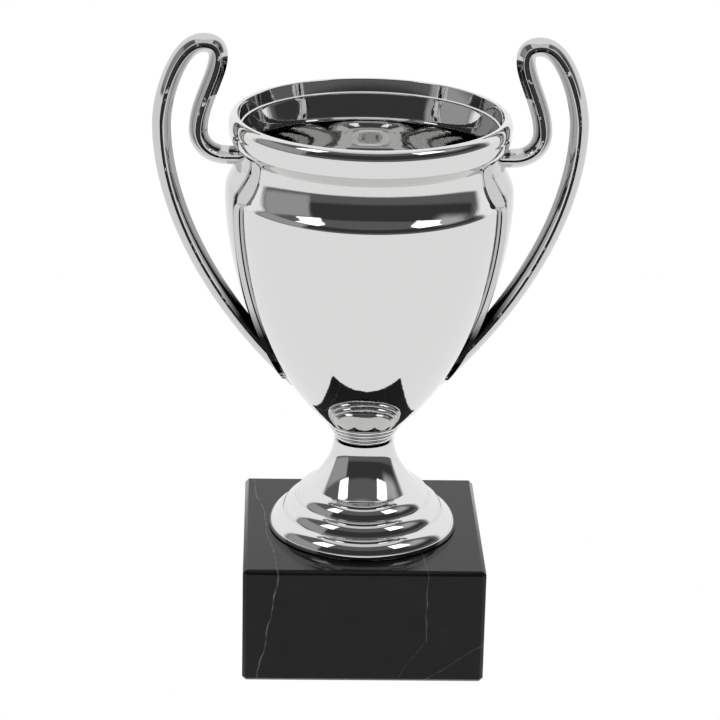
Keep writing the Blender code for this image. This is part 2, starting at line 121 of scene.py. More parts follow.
def show(mesh, name, node, materials, crisp=30):
    """Show a finished mesh in place of a CAD node. Edges sharper than crisp degrees stay hard."""
    bmesh.ops.scale(mesh, vec=(MM, MM, MM), verts=mesh.verts)
    data = bpy.data.meshes.new(name)
    mesh.to_mesh(data)
    mesh.free()
    for material in materials:
        data.materials.append(material)
    data.shade_smooth()
    data.set_sharp_from_angle(angle=radians(crisp))
    piece = bpy.data.objects.new(name, data)
    bpy.context.scene.collection.objects.link(piece)
    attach(piece, "root")
    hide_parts(node)


def turned(outline, steps, closed=True):
    """Spin an outline of (radius, height) points a full turn about Z."""
    mesh = bmesh.new()
    verts = [mesh.verts.new((radius, 0.0, height)) for radius, height in outline]
    edges = [mesh.edges.new(pair) for pair in zip(verts, verts[1:])]
    if closed:
        edges.append(mesh.edges.new((verts[-1], verts[0])))
    bmesh.ops.spin(mesh, geom=verts + edges, axis=(0, 0, 1), cent=(0, 0, 0), angle=tau,
                   steps=steps, use_merge=True)
    bmesh.ops.remove_doubles(mesh, verts=mesh.verts, dist=0.001)
    bmesh.ops.recalc_face_normals(mesh, faces=mesh.faces)
    return mesh


def rounded(corner, radius, start, end, steps=4):
    """Points round a corner's inside circle, between two directions in degrees."""
    turn = [radians(start + (end - start) * i / steps) for i in range(steps + 1)]
    return [(corner[0] + radius * cos(angle), corner[1] + radius * sin(angle)) for angle in turn]


felt, tree, shader = principled("black_felt", FELT_DARK, FELT_ROUGHNESS)
fibres = clouds(tree, place_mm(tree), FIBRE_SCALE, 5.0)
tree.links.new(tint(tree, fibres, FELT_DARK, FELT_PALE), shader.inputs["Base Color"])
shader.inputs["Sheen Weight"].default_value = FELT_SHEEN
raise_surface(tree, shader, fibres, FIBRE_HEIGHT)

for corner in ("front_left", "front_right", "back_left", "back_right"):
    low, high = cad_place("pad_" + corner)
    radius = (high.x - low.x) / 2
    middle = radius - PAD_SOFTENED
    outline = [(0.0, low.z)] + rounded((middle, low.z + PAD_SOFTENED), PAD_SOFTENED, -90, 0)
    outline += rounded((middle, high.z - PAD_SOFTENED), PAD_SOFTENED, 0, 90) + [(0.0, high.z)]
    mesh = turned(outline, PAD_STEPS, closed=False)
    bmesh.ops.translate(mesh, verts=mesh.verts,
                        vec=((low.x + high.x) / 2, (low.y + high.y) / 2, 0))
    show(mesh, "felt_pad_" + corner, "pad_" + corner, [felt], 50)


# ---------------------------------------------------------------- marble block
# A sawn block of black marble, 50 mm square and 25 mm high, polished on all sides with narrow
# chamfers. It is drilled for the rod, with a wide counterbore underneath for washer and nut.

STONE_CHAMFER = 0.8
STONE_ARRIS = 0.08                # the polish rounds the edges of the chamfers a little
DRILL_RADIUS = 2.85
COUNTERBORE_RADIUS = 9.0
COUNTERBORE_DEPTH = 9.0
LOOP_STEPS = 64                   # points round each hole, a quarter of them along each side
STONE_BLACK = (0.0035, 0.0035, 0.0042)
STONE_GREY = (0.013, 0.013, 0.014)
VEIN_WHITE = (0.34, 0.34, 0.33)
STONE_POLISH = 0.09
STONE_SPECULAR = 0.19
# Each vein is a thin sheet that leans through the stone: where it crosses the front's top edge,
# how far it moves along X for each millimetre back and for each millimetre up, how thick it is,
# how bright, and how far down from the top it starts and ends.
VEINS = ((-17.8, -0.11, 0.16, 0.22, 0.6, -1.0, 30.0),
         (12.75, -0.05, 0.01, 0.18, 0.35, -1.0, 15.0),
         (21.4, 0.2, 0.57, 0.16, 0.22, 15.5, 30.0),
         (48.2, 0.35, 1.44, 0.2, 0.4, 14.0, 30.0))
WANDER = 1.3                      # how far a vein strays from its sheet
WANDER_SCALE = 0.11
VEIN_END = 1.0                    # a vein fades over this height where it starts or ends
VEIN_BREAKS = 0.35                # gaps in the veins to the millimetre
VEIN_FAINT, VEIN_FULL = 0.36, 0.62    # levels of that noise between which a vein comes out
VEIN_LEAST = 0.12                 # share of its strength that a vein keeps in a gap
SPECKS = 0.55                     # crystals to the millimetre
SPECK_EDGE = 0.045
SPECK_STRENGTH = 0.35
MOTTLE_SCALE = 0.18
PEEL_SCALE = 1.4                  # the faint unevenness of the polish
PEEL_HEIGHT = 0.0012
STONE_CRISP = 12                  # degrees


def vein(tree, place, sheet, warp):
    """Brightness of one vein: a line where the warped sheet meets the surface, broken in places."""
    crossing, back, up, thickness, strength, start, end = sheet
    low, high = cad_place("marble_plinth")
    across = (1.0, -back, -up)
    offset = crossing - back * low.y - up * high.z
    from_sheet = add_node(tree, "ShaderNodeVectorMath", {0: place, 1: across}, output=1,
                          operation="DOT_PRODUCT")
    from_sheet = add_node(tree, "ShaderNodeMath", {0: from_sheet, 1: -offset})
    wandering = add_node(tree, "ShaderNodeMapRange",
                         {"Value": warp, "To Min": -WANDER, "To Max": WANDER})
    from_sheet = add_node(tree, "ShaderNodeMath", {0: from_sheet, 1: wandering})
    from_sheet = add_node(tree, "ShaderNodeMath", {0: from_sheet}, operation="ABSOLUTE")
    line = add_node(tree, "ShaderNodeMapRange",
                    {"Value": from_sheet, "From Min": 0.0, "From Max": thickness,
                     "To Min": strength, "To Max": 0.0}, interpolation_type="SMOOTHSTEP")
    broken = add_node(tree, "ShaderNodeMapRange",
                      {"Value": clouds(tree, place, VEIN_BREAKS, 4.0), "From Min": VEIN_FAINT,
                       "From Max": VEIN_FULL, "To Min": VEIN_LEAST})
    line = add_node(tree, "ShaderNodeMath", {0: line, 1: broken}, operation="MULTIPLY")
    axes = tree.nodes.new("ShaderNodeSeparateXYZ")
    tree.links.new(place, axes.inputs[0])
    for level, inside, outside in ((high.z - start, 1.0, 0.0), (high.z - end, 0.0, 1.0)):
        shown = add_node(tree, "ShaderNodeMapRange",
                         {"Value": axes.outputs["Z"], "From Min": level - VEIN_END,
                          "From Max": level, "To Min": inside, "To Max": outside})
        line = add_node(tree, "ShaderNodeMath", {0: line, 1: shown}, operation="MULTIPLY")
    return line


stone, tree, shader = principled("black_marble", STONE_BLACK, STONE_POLISH)
shader.inputs["Specular IOR Level"].default_value = STONE_SPECULAR
place = place_mm(tree)
warp = clouds(tree, place, WANDER_SCALE, 5.0)
white = None
for sheet in VEINS:
    line = vein(tree, place, sheet, warp)
    white = line if white is None else add_node(tree, "ShaderNodeMath", {0: white, 1: line},
                                                operation="MAXIMUM")
crystal = add_node(tree, "ShaderNodeTexVoronoi", {"Vector": place, "Scale": SPECKS})
speck = add_node(tree, "ShaderNodeMapRange",
                 {"Value": crystal, "From Min": 0.0, "From Max": SPECK_EDGE,
                  "To Min": SPECK_STRENGTH, "To Max": 0.0})
white = add_node(tree, "ShaderNodeMath", {0: white, 1: speck}, operation="MAXIMUM")
mottle = tint(tree, clouds(tree, place, MOTTLE_SCALE, 6.0), STONE_BLACK, STONE_GREY)
colour = add_node(tree, "ShaderNodeMix", {0: white, 6: mottle, 7: (*VEIN_WHITE, 1.0)}, output=2,
                  data_type="RGBA")
tree.links.new(colour, shader.inputs["Base Color"])
raise_surface(tree, shader, clouds(tree, place, PEEL_SCALE, 4.0), PEEL_HEIGHT)


def loop_at(mesh, radius, height):
    """A ring of loose edges at a height."""
    verts = bmesh.ops.create_circle(mesh, segments=LOOP_STEPS, radius=radius)["verts"]
    bmesh.ops.translate(mesh, verts=verts, vec=(0, 0, height))
    return list({edge for vert in verts for edge in vert.link_edges})


low, high = cad_place("marble_plinth")
mesh = bmesh.new()
bmesh.ops.create_cube(mesh, size=1.0)
bmesh.ops.scale(mesh, verts=mesh.verts, vec=high - low)
bmesh.ops.translate(mesh, verts=mesh.verts, vec=(low + high) / 2)
bmesh.ops.bevel(mesh, geom=mesh.edges[:], offset=STONE_CHAMFER, offset_type="OFFSET",
                affect="EDGES", segments=1, profile=0.5, material=-1)
bmesh.ops.bevel(mesh, geom=mesh.edges[:], offset=STONE_ARRIS, offset_type="OFFSET",
                affect="EDGES", segments=2, profile=0.5, material=-1)
mesh.normal_update()
rims = {}
for level in (low.z, high.z):
    flat = [face for face in mesh.faces if abs(face.calc_center_median().z - level) < 0.001]
    rims[level] = list({edge for face in flat for edge in face.edges})
    bmesh.ops.delete(mesh, geom=flat, context="FACES_ONLY")
for level, rim in rims.items():        # cut each side up to match a quarter of the loop inside
    long_sides = [edge for edge in rim if edge.calc_length() > STONE_CHAMFER]
    bmesh.ops.subdivide_edges(mesh, edges=long_sides, cuts=LOOP_STEPS // 4 - 1)
    rims[level] = [edge for edge in mesh.edges if edge.is_boundary
                   and abs(edge.verts[0].co.z - level) < 0.001]
ceiling = low.z + COUNTERBORE_DEPTH
mouth = loop_at(mesh, COUNTERBORE_RADIUS, low.z)
shelf = loop_at(mesh, COUNTERBORE_RADIUS, ceiling)
inner = loop_at(mesh, DRILL_RADIUS, ceiling)
outlet = loop_at(mesh, DRILL_RADIUS, high.z)
for pair in ((rims[low.z], mouth), (mouth, shelf), (shelf, inner), (inner, outlet),
             (outlet, rims[high.z])):
    bmesh.ops.bridge_loops(mesh, edges=pair[0] + pair[1])
bmesh.ops.recalc_face_normals(mesh, faces=mesh.faces)
show(mesh, "marble_block", "marble_plinth", [stone], STONE_CRISP)


# ---------------------------------------------------------------- foot
# A hollow foot moulded in plastic and plated bright: an upright skirt, three rolled ripples and
# a trumpet neck. It stands on the stone and the rod pulls it down.

SKIRT = 0.7
RIPPLES = ((16.9, 3.5), (14.3, 6.3), (11.5, 9.1))     # radius and height of the groove above each
RIPPLE_START = radians(16)        # part of an arc that each one rolls through
RIPPLE_END = radians(82)
RIPPLE_STEPS = 12
TRUMPET_BEND = 1.9
TRUMPET_STEPS = 28
NECK_TOP_RADIUS = 6.3
ROD_HOLE = 2.85
SHELL = 1.5                       # thickness of the moulding
HOLLOW_BEND = 1.1
TURN_STEPS = 180
BRIGHT = (0.69, 0.69, 0.685)
BRIGHT_GLOSS = 0.035
HAZE_SCALE = 0.25
HAZE_CLEAR, HAZE_DULL = 0.6, 1.7  # least and most roughness, as shares of the gloss
SWELL_SCALE = 0.6
PLATED_CRISP = 40                 # degrees


def bright_plating(name, ripple, lines=(1.0, 1.0, 1.0)):
    """Mirror plating on plastic: a little haze in patches, over the faint swell of the moulding.

    The swell is ripple millimetres deep. Lines stretches it along an axis where it is below 1.
    """
    material, tree, shader = principled(name, BRIGHT, BRIGHT_GLOSS, 1.0)
    place = place_mm(tree)
    haze = add_node(tree, "ShaderNodeMapRange",
                    {"Value": clouds(tree, place, HAZE_SCALE, 6.0), "From Min": 0.3,
                     "From Max": 0.75, "To Min": BRIGHT_GLOSS * HAZE_CLEAR,
                     "To Max": BRIGHT_GLOSS * HAZE_DULL})
    tree.links.new(haze, shader.inputs["Roughness"])
    raise_surface(tree, shader, clouds(tree, place_mm(tree, lines), SWELL_SCALE, 2.0), ripple)
    return material


low, high = cad_place("foot")
radius, level = high.x, low.z + SKIRT
outline = [(radius, low.z)]
for groove_radius, groove_rise in RIPPLES:
    groove = low.z + groove_rise
    for i in range(RIPPLE_STEPS + 1):
        angle = RIPPLE_START + (RIPPLE_END - RIPPLE_START) * i / RIPPLE_STEPS
        inward = (cos(RIPPLE_START) - cos(angle)) / (cos(RIPPLE_START) - cos(RIPPLE_END))
        upward = (sin(angle) - sin(RIPPLE_START)) / (sin(RIPPLE_END) - sin(RIPPLE_START))
        outline.append((radius + (groove_radius - radius) * inward,
                        level + (groove - level) * upward))
    radius, level = groove_radius, groove
for i in range(TRUMPET_STEPS + 1):
    rise = i / TRUMPET_STEPS
    outline.append((NECK_TOP_RADIUS + (radius - NECK_TOP_RADIUS) * (1 - rise) ** TRUMPET_BEND,
                    level + (high.z - level) * rise))
hollow_height = RIPPLES[-1][1] + SHELL
outline += [(ROD_HOLE, high.z), (ROD_HOLE, low.z + hollow_height)]
hollow_top, hollow_mouth = ROD_HOLE + SHELL, high.x - SHELL
for i in range(TRUMPET_STEPS, -1, -1):
    rise = i / TRUMPET_STEPS
    outline.append((hollow_top + (hollow_mouth - hollow_top) * (1 - rise) ** HOLLOW_BEND,
                    low.z + hollow_height * rise))
show(turned(outline, TURN_STEPS), "rippled_foot", "foot",
     [bright_plating("foot_plating", 0.002)], PLATED_CRISP)


# ---------------------------------------------------------------- collar
# A short plated spacer between foot and bowl, turned like a stack of four thin rings that widen
# upwards, with a fine groove between each two.

RINGS = 4
COLLAR_NARROW = 6.0
RING_GROOVE = 0.25                # how deep the groove between two rings is
RING_ROUND = 0.46

low, high = cad_place("neck_collar")
pitch = (high.z - low.z) / RINGS
outline = [(ROD_HOLE, low.z)]
for ring in range(RINGS):
    radius = COLLAR_NARROW + (high.x - COLLAR_NARROW) * ring / (RINGS - 1)
    bottom = low.z + ring * pitch
    middle = radius - RING_ROUND
    outline.append((middle - RING_GROOVE, bottom))
    outline += rounded((middle, bottom + RING_ROUND), RING_ROUND, -90, 0)
    outline += rounded((middle, bottom + pitch - RING_ROUND), RING_ROUND, 0, 90)
    outline.append((middle - RING_GROOVE, bottom + pitch))
outline.append((ROD_HOLE, high.z))
show(turned(outline, TURN_STEPS), "ringed_collar", "neck_collar",
     [bright_plating("collar_plating", 0.001)], PLATED_CRISP)


# ---------------------------------------------------------------- bowl
# The cup's bowl is a thin plastic moulding with bright plating inside and out: a body like an
# egg, a hollow neck and a rolled rim. Its flat floor takes the washer and nut.

BODY_FOOT_RADIUS = 9.2
BODY_EDGE = 0.5
BODY_HEIGHT = 48.3
BODY_FLARE = radians(45)
BODY_FLARE_PULL = 0.48
BODY_SIDE_PULL = 0.12
WALL = 1.5
FLOOR_THICKNESS = 3.6
FLOOR_RADIUS = 6.0
FLOOR_SLOPE = 2.2
SHOULDER_RISE = 0.45              # above the body, where the shoulder starts to roll in
SHOULDER_RADIUS = 2.8
SHOULDER_SWEEP = 37               # degrees
WAIST_DEPTH = 2.75                # inside the shoulder
WAIST_RISE = 9.3                  # above the body
WAIST_LOW_PULL = 2.4
WAIST_HIGH_PULL = 2.0
BAND_RISE = 12.2                  # foot of the rim's band, above the body
BAND_INSET = 0.1
BAND_TOP_RISE = 14.1
BAND_TOP_BULGE = 0.39
BEAD_GROOVE_RISE = 14.55          # a faint groove under the rim's bead
BEAD_GROOVE_BULGE = 0.355
RIM_BULGE = 0.45                  # the bead's widest ring, outside the shoulder
RIM_RISE = 15.2
LIP_INSET = 0.9
LIP_THICKNESS = 0.5
LIP_SLOPE = 0.6                   # how far the wall under the lip comes in
LEDGE_RISE = 14.8
LEDGE_DEPTH = 0.3
LEDGE_ROUND = 0.12
INNER_WAIST_WALL = 1.25
BODY_STEPS = 90
LIP_STEPS = 14
BOWL_STEPS = 240                  # sides of the bowl
BOWL_CRISP = 30                   # degrees
BOWL_LINES = (1.0, 1.0, 0.08)     # the moulding's swell is drawn out from top to bottom
BOWL_SWELL = 0.014


def bezier(start, start_pull, end_pull, end, steps):
    """Points along one cubic Bezier span, without its last point."""
    points = []
    for i in range(steps):
        t = i / steps
        weights = ((1 - t) ** 3, 3 * (1 - t) ** 2 * t, 3 * (1 - t) * t * t, t ** 3)
        corners = (start, start_pull, end_pull, end)
        points.append(tuple(sum(w * c[k] for w, c in zip(weights, corners)) for k in (0, 1)))
    return points


def pushed(line, offset):
    """A line's points moved square to it, outwards when it runs upwards."""
    moved = []
    for i, (radius, height) in enumerate(line):
        before, after = line[max(i - 1, 0)], line[min(i + 1, len(line) - 1)]
        angle = atan2(after[1] - before[1], after[0] - before[0]) - pi / 2
        moved.append((radius + offset * cos(angle), height + offset * sin(angle)))
    return moved


low, high = cad_place("bowl")
bowl_low = low.z
shoulder = low.z + BODY_HEIGHT
shoulder_radius = high.x - RIM_BULGE
flare = BODY_HEIGHT * BODY_FLARE_PULL
body_foot = (BODY_FOOT_RADIUS, low.z + BODY_EDGE)
body_top = (shoulder_radius, shoulder)
body = bezier(body_foot, (body_foot[0] + flare * sin(BODY_FLARE),
                          body_foot[1] + flare * cos(BODY_FLARE)),
              (body_top[0], body_top[1] - BODY_HEIGHT * BODY_SIDE_PULL), body_top, BODY_STEPS)
body.append(body_top)

roll = rounded((shoulder_radius - SHOULDER_RADIUS, shoulder + SHOULDER_RISE), SHOULDER_RADIUS, 0,
               SHOULDER_SWEEP, 10)
tilt = radians(SHOULDER_SWEEP)
waist = (shoulder_radius - WAIST_DEPTH, shoulder + WAIST_RISE)
neck = bezier(roll[-1], (roll[-1][0] - WAIST_LOW_PULL * sin(tilt),
                         roll[-1][1] + WAIST_LOW_PULL * cos(tilt)),
              (waist[0], waist[1] - WAIST_HIGH_PULL), waist, 24)
band_foot = (shoulder_radius - BAND_INSET, shoulder + BAND_RISE)
band_top = (shoulder_radius + BAND_TOP_BULGE, shoulder + BAND_TOP_RISE)
bead_groove = (shoulder_radius + BEAD_GROOVE_BULGE, shoulder + BEAD_GROOVE_RISE)
rim_radius, rim_level = shoulder_radius + RIM_BULGE, shoulder + RIM_RISE
neck += bezier(waist, (waist[0], waist[1] + 0.8), (band_foot[0] - 0.9, band_foot[1] - 1.0),
               band_foot, 16)
band = bezier(band_foot, (band_foot[0] + 0.25, band_foot[1] + 0.3),
              (band_top[0] + 0.02, band_top[1] - 0.8), band_top, 12)
bead = bezier(band_top, (band_top[0] - 0.04, band_top[1] + 0.25),
              (bead_groove[0], bead_groove[1] - 0.1), bead_groove, 5)
bead += bezier(bead_groove, (bead_groove[0], bead_groove[1] + 0.12),
               (rim_radius, rim_level - 0.3), (rim_radius, rim_level), 6)
lip_radius = shoulder_radius - LIP_INSET
for i in range(LIP_STEPS + 1):
    angle = radians(90 * i / LIP_STEPS)
    bead.append((lip_radius + (rim_radius - lip_radius) * cos(angle),
                 rim_level + (high.z - rim_level) * sin(angle)))
outside = [(BODY_FOOT_RADIUS - BODY_EDGE, low.z)] + body + roll[:-1] + neck + band + bead

inner_lip = lip_radius - LIP_THICKNESS
ledge = shoulder + LEDGE_RISE
inner_waist = (waist[0] - INNER_WAIST_WALL, waist[1])
inside = rounded((inner_lip + LIP_THICKNESS / 2, high.z - LIP_THICKNESS / 2), LIP_THICKNESS / 2,
                 90, 180, 5)
ledge_edge = (inner_lip - LIP_SLOPE - LEDGE_DEPTH, ledge)
inside += [(ledge_edge[0] + LEDGE_DEPTH, ledge + LEDGE_ROUND)]
inside += rounded((ledge_edge[0] + LEDGE_ROUND, ledge - LEDGE_ROUND), LEDGE_ROUND, 90, 200, 4)
inside += bezier((ledge_edge[0] - 0.02, ledge - 0.3), (ledge_edge[0] - 0.6, ledge - 2.0),
                 (inner_waist[0] + 0.1, inner_waist[1] + 1.2), inner_waist, 12)
inner_body = pushed(body, -WALL)
wall_top = inner_body[-1]
inside += bezier(inner_waist, (inner_waist[0], inner_waist[1] - 2.5),
                 (wall_top[0], wall_top[1] + 3.5), wall_top, 20)
floor_level = low.z + FLOOR_THICKNESS
floor_edge = low.z + FLOOR_THICKNESS + FLOOR_SLOPE
inside += [point for point in reversed(inner_body) if point[1] > floor_edge]
last = inside[-1]
inside += bezier(last, (last[0] - FLOOR_SLOPE * 0.5, last[1] - FLOOR_SLOPE * 0.7),
                 (FLOOR_RADIUS + FLOOR_SLOPE * 0.5, floor_level), (FLOOR_RADIUS, floor_level), 8)[1:]
inside += [(FLOOR_RADIUS, floor_level), (ROD_HOLE, floor_level), (ROD_HOLE, low.z)]
show(turned(outside + inside, BOWL_STEPS), "cup_bowl", "bowl",
     [bright_plating("bowl_plating", BOWL_SWELL, BOWL_LINES)], BOWL_CRISP)


# ---------------------------------------------------------------- handles
# Each handle is one plated moulding: a curved strap that saddles the bowl's flank, and a bar
# with cut corners that curls up out of the strap, bends over and sweeps down to the strap's tip.
# A narrow groove runs along the bar's front and back. Its inside is painted near-black as painted
# shade.

STRAP_PROUD = 1.1                 # how far the strap's face stands off the bowl
STRAP_CLEAR = 0.15                # between the strap's back and the bowl
STRAP_HALF_WIDTH = 10.7           # at the shoulder
PLATE_HALF_WIDTH = 12.0           # where it widens into a plate, just above the shoulder
PLATE_RISE = 1.6
PLATE_TOP_HALF_WIDTH = 12.2
PLATE_BEVEL = 0.7                 # how far the plate's edge slopes out towards the neck
STRAP_TAPER = 0.5
STRAP_TOP_RISE = 10.6             # above the body
STRAP_LOW_RISE = 8.4              # above the bowl's lowest edge
STRAP_TIP = 0.02                  # the lowest row stands just above the tip, so it has a width
STRAP_CROWDING = 1.6              # how close together its rows are at the low end
STRAP_ROWS = 90
STRAP_COLUMNS = 36
NECK_CLEAR = 0.05                 # between the plate's back and the bowl's neck
NECK_PLATE_WALL = 1.1             # the strap's thickness where it bridges the waist
BAR_HALF_WIDTH = 1.92             # seen from the front
BAR_HALF_DEPTH = 2.4
BAR_RIDGE = 0.6                   # half width of the flat along its front and back
BAR_CHEEK = 0.3                   # half depth of the flats along its sides
BAR_ARRIS = 0.06                  # how far its corners are rounded off
BAR_SINK = 1.6
STUB_REACH = 0.6                  # from here on reaches are outside the shoulder and rises above it
STUB_RISE = 8.45
CURL_REACH, CURL_RISE = 6.5, 13.8
NEAREST_REACH, NEAREST_RISE = 2.5, 28.9
TOP_REACH, TOP_RISE = 5.5, 31.7
WIDEST_REACH, WIDEST_RISE = 13.9, 14.9
# For each bend, the share of its width or height that it holds its direction for at each end
CURL_PULLS = (0.58, 0.60)
INNER_PULLS = (0.36, 0.25)
CROOK_PULLS = (0.71, 0.67)
ARCH_PULLS = (0.60, 0.34)
SWEEP_PULLS = (0.33, 0.42)
LANDING = radians(47)             # from upright, where the bar runs into the strap
GROOVE_WIDE = 0.5                 # half width along the arch
GROOVE_NARROW = 0.22              # half width down the sweep
GROOVE_SWEEP = GROOVE_NARROW * 1.3
GROOVE_END = GROOVE_NARROW * 0.8
GROOVE_DEPTH = 0.5
GROOVE_FIRST, GROOVE_LAST = 5, 10     # places in the section that the groove's faces lie between
WEDGE_TOP = 80.0                  # painted shade darkens the wedge between bar and strap below here
WEDGE_FADE = 7.0
WEDGE_BOTTOM = 64.0
STRAP_SHADE_SHIFT = 3.0            # the painted shade on the strap's face starts this much lower than on the bar
# The handles' plating is the bowl's plating made darker, a painted shade.
HANDLE_SHADED_BRIGHT = (0.58, 0.58, 0.577)
# Near-black painted shade, for the groove and for the wedge between bar and strap.
PAINTED_SHADE_BLACK = (0.012, 0.012, 0.013)
SPAN_STEPS = 22
HANDLE_CRISP = 25                 # degrees


def between(start, end, across, up):
    """The point that shares of the width and of the height from start to end lead to."""
    return (start[0] + (end[0] - start[0]) * across, start[1] + (end[1] - start[1]) * up)


def radius_at(line, height):
    """Radius of a rising line of (radius, height) points at a height."""
    for lower, upper in zip(line, line[1:]):
        if height <= upper[1]:
            break
    share = (height - lower[1]) / max(upper[1] - lower[1], 1e-6)
    return lower[0] + (upper[0] - lower[0]) * min(max(share, 0.0), 1.0)


def bar_path():
    """The bar's middle line as (outward, up, groove half width), from the strap to its landing."""
    tip = bowl_low + STRAP_LOW_RISE
    root = (shoulder_radius - WAIST_DEPTH, shoulder + STUB_RISE)
    stub = (shoulder_radius + STUB_REACH, root[1])
    curl = (shoulder_radius + CURL_REACH, shoulder + CURL_RISE)
    nearest = (shoulder_radius + NEAREST_REACH, shoulder + NEAREST_RISE)
    top = (shoulder_radius + TOP_REACH, shoulder + TOP_RISE)
    widest = (shoulder_radius + WIDEST_REACH, shoulder + WIDEST_RISE)
    landing = (radius_at(body, tip) - BAR_SINK, tip)
    run_in = (widest[1] - landing[1]) * SWEEP_PULLS[1]
    spans = ((root, between(root, stub, 0.3, 0), between(root, stub, 0.7, 0), stub,
              GROOVE_NARROW, GROOVE_NARROW),
             (stub, between(stub, curl, CURL_PULLS[0], 0), between(curl, stub, 0, CURL_PULLS[1]),
              curl, GROOVE_NARROW, GROOVE_WIDE),
             (curl, between(curl, nearest, 0, INNER_PULLS[0]),
              between(nearest, curl, 0, INNER_PULLS[1]), nearest, GROOVE_WIDE, GROOVE_WIDE),
             (nearest, between(nearest, top, 0, CROOK_PULLS[0]),
              between(top, nearest, CROOK_PULLS[1], 0), top, GROOVE_WIDE, GROOVE_WIDE),
             (top, between(top, widest, ARCH_PULLS[0], 0), between(widest, top, 0, ARCH_PULLS[1]),
              widest, GROOVE_WIDE, GROOVE_SWEEP),
             (widest, between(widest, landing, 0, SWEEP_PULLS[0]),
              (landing[0] + run_in * sin(LANDING), landing[1] + run_in * cos(LANDING)), landing,
              GROOVE_SWEEP, GROOVE_END))
    path = []
    for start, start_pull, end_pull, end, width, end_width in spans:
        points = bezier(start, start_pull, end_pull, end, SPAN_STEPS)
        for i, (out, up) in enumerate(points):
            share = i / SPAN_STEPS
            path.append((out, up, width + (end_width - width) * share * share))
    return path + [(*landing, GROOVE_END)]


def bar_section(groove):
    """The bar's outline as (across, deep), with a groove down the middle of front and back."""
    turn = atan2(BAR_HALF_DEPTH - BAR_CHEEK, BAR_HALF_WIDTH - BAR_RIDGE)
    cut = (cos(pi - turn) * BAR_ARRIS, sin(pi - turn) * BAR_ARRIS)
    half = [(BAR_HALF_WIDTH, BAR_CHEEK - BAR_ARRIS),
            (BAR_HALF_WIDTH - BAR_ARRIS * 0.2, BAR_CHEEK),
            (BAR_HALF_WIDTH + cut[0], BAR_CHEEK + cut[1])]
    half += [(BAR_RIDGE - cut[0] * 0.6, BAR_HALF_DEPTH - cut[1] * 0.6),
             (BAR_RIDGE - 0.02, BAR_HALF_DEPTH)]
    lip = min(groove, BAR_RIDGE - 0.08)
    half += [(lip, BAR_HALF_DEPTH), (lip * 0.85, BAR_HALF_DEPTH - GROOVE_DEPTH * 0.8),
             (lip * 0.35, BAR_HALF_DEPTH - GROOVE_DEPTH)]
    front = half + [(-across, deep) for across, deep in reversed(half)]
    return front + [(-across, -deep) for across, deep in front]


def wedge_shade_share(height):
    """How dark the painted shade in the wedge between bar and strap is, 1 for darkest."""
    if height < WEDGE_BOTTOM:
        return 0.0
    return min(max((WEDGE_TOP - height) / WEDGE_FADE, 0.0), 1.0)


def add_bar(mesh, side):
    """Bridge the bar's sections, placed along its path. The strap is in the mesh already."""
    path = bar_path()
    size = len(bar_section(GROOVE_WIDE))
    index_of = mesh.verts.layers.int.new("place_in_section")
    wedge_shade = mesh.verts.layers.float["wedge_shade"]
    rings = []
    for i, (out, up, groove) in enumerate(path):
        before, after = path[max(i - 1, 0)], path[min(i + 1, len(path) - 1)]
        angle = atan2(after[1] - before[1], after[0] - before[0]) + pi / 2
        verts = bmesh.ops.create_circle(mesh, segments=size, radius=1.0)["verts"]
        for k, (vert, (across, deep)) in enumerate(zip(verts, bar_section(groove))):
            vert[index_of] = k + 1
            vert.co = (side * (out + across * cos(angle)), deep, up + across * sin(angle))
            # Painted shade in the wedge, on the bar's inner side near its landing.
            if i > len(path) - SPAN_STEPS and across < 0:
                vert[wedge_shade] = wedge_shade_share(up)
        rings.append(verts)
    loops = [list({edge for vert in verts for edge in vert.link_edges}) for verts in rings]
    for lower, upper in zip(loops, loops[1:]):
        made = bmesh.ops.bridge_loops(mesh, edges=lower + upper)
        for face in made["faces"]:
            places = sorted((vert[index_of] - 1) % (size // 2) for vert in face.verts)
            # The groove's faces take the near-black painted shade.
            if places[0] >= GROOVE_FIRST and places[-1] <= GROOVE_LAST:
                face.material_index = 1
    for verts in (rings[0], rings[-1]):
        bmesh.ops.contextual_create(mesh, geom=verts)


def strap_half_width(rise):
    """Half the strap's width at a height above the bowl's lowest edge."""
    above = rise - BODY_HEIGHT
    if above > PLATE_RISE:
        share = (above - PLATE_RISE) / (STRAP_TOP_RISE - PLATE_RISE)
        return PLATE_HALF_WIDTH + (PLATE_TOP_HALF_WIDTH - PLATE_HALF_WIDTH) * share
    if above > 0:
        return STRAP_HALF_WIDTH + (PLATE_HALF_WIDTH - STRAP_HALF_WIDTH) * (above / PLATE_RISE) ** 3
    share = (rise - STRAP_LOW_RISE) / (BODY_HEIGHT - STRAP_LOW_RISE)
    return STRAP_HALF_WIDTH * max(share, 0.0) ** STRAP_TAPER


